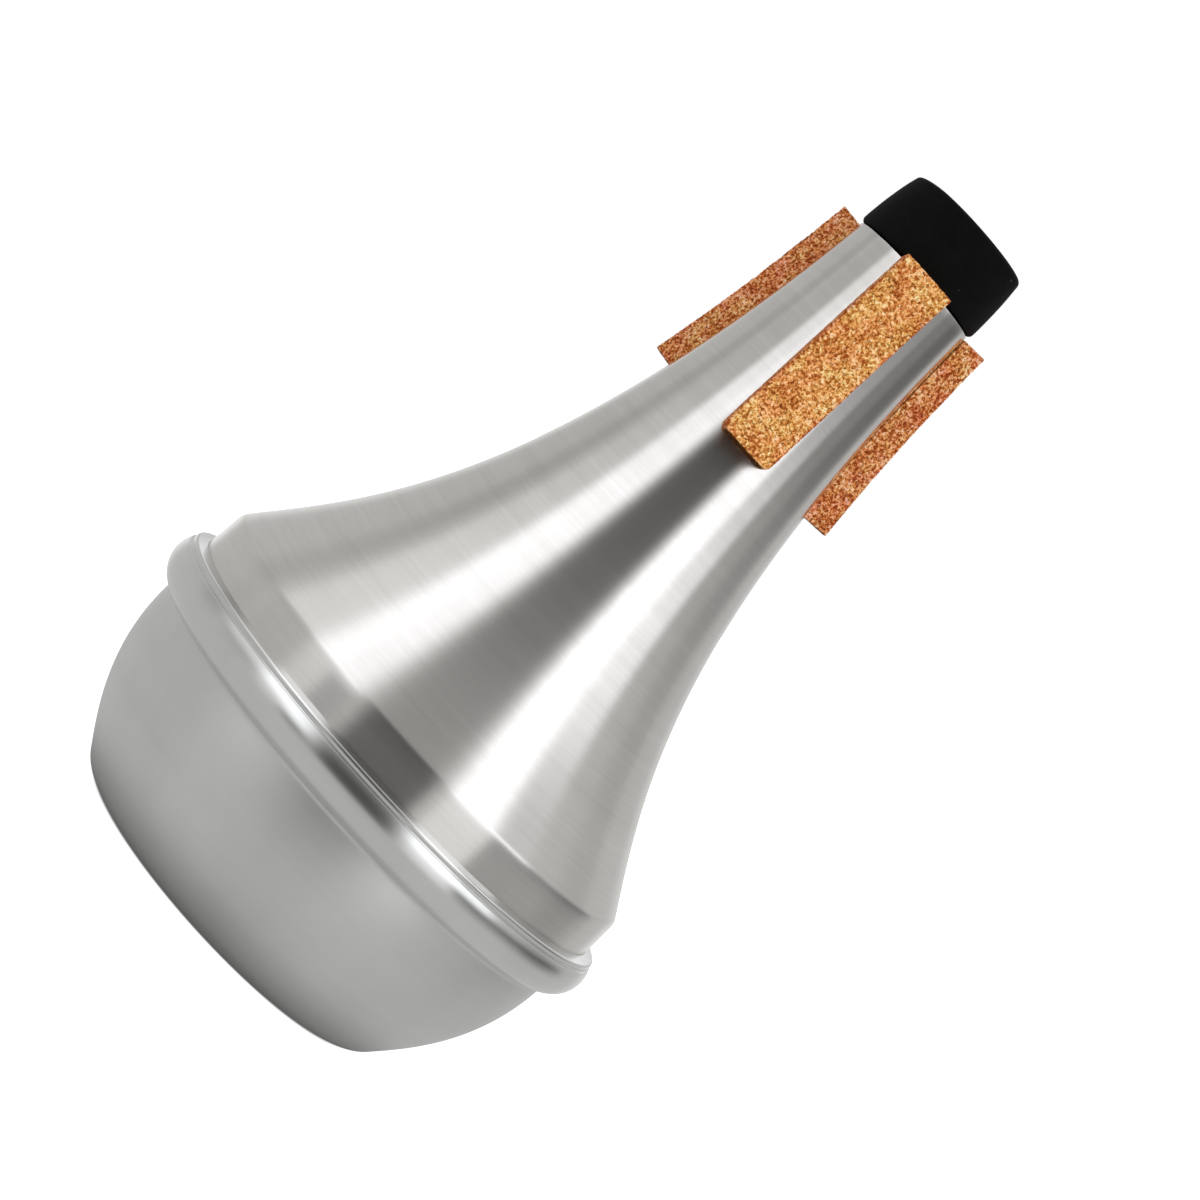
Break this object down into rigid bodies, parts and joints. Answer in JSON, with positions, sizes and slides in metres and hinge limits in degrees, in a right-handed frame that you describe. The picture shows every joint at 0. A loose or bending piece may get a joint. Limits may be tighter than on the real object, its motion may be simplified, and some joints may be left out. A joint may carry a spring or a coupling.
{
  "type": "trumpet straight mute",
  "caption": "Hollow spun-aluminium cone with a flared base, a rolled bead and a bowl-shaped end cap, cork strips round its throat and an open black rubber sleeve in its mouth.",
  "frame": {"origin": "middle of the flat base, on the surface that the mute stands on", "axes": "+Z along the mute's axis from the base to the throat; -Y to the front, where the front cork strip lies 5 degrees towards +X"},
  "size_m": [0.096, 0.096, 0.162],
  "materials": {
    "cap_aluminium": "satin spun",
    "cone_aluminium": "bright spun, fine rings round the axis",
    "black_rubber": "matte",
    "cork": "granulated cork, cut and unsealed"
  },
  "bodies": {
    "root": {"end_cap": "cap_aluminium", "cone_shell": "cone_aluminium", "throat_sleeve": "black_rubber", "cork_strip_front": "cork", "cork_strip_right": "cork", "cork_strip_left": "cork"}
  },
  "joints": []
}
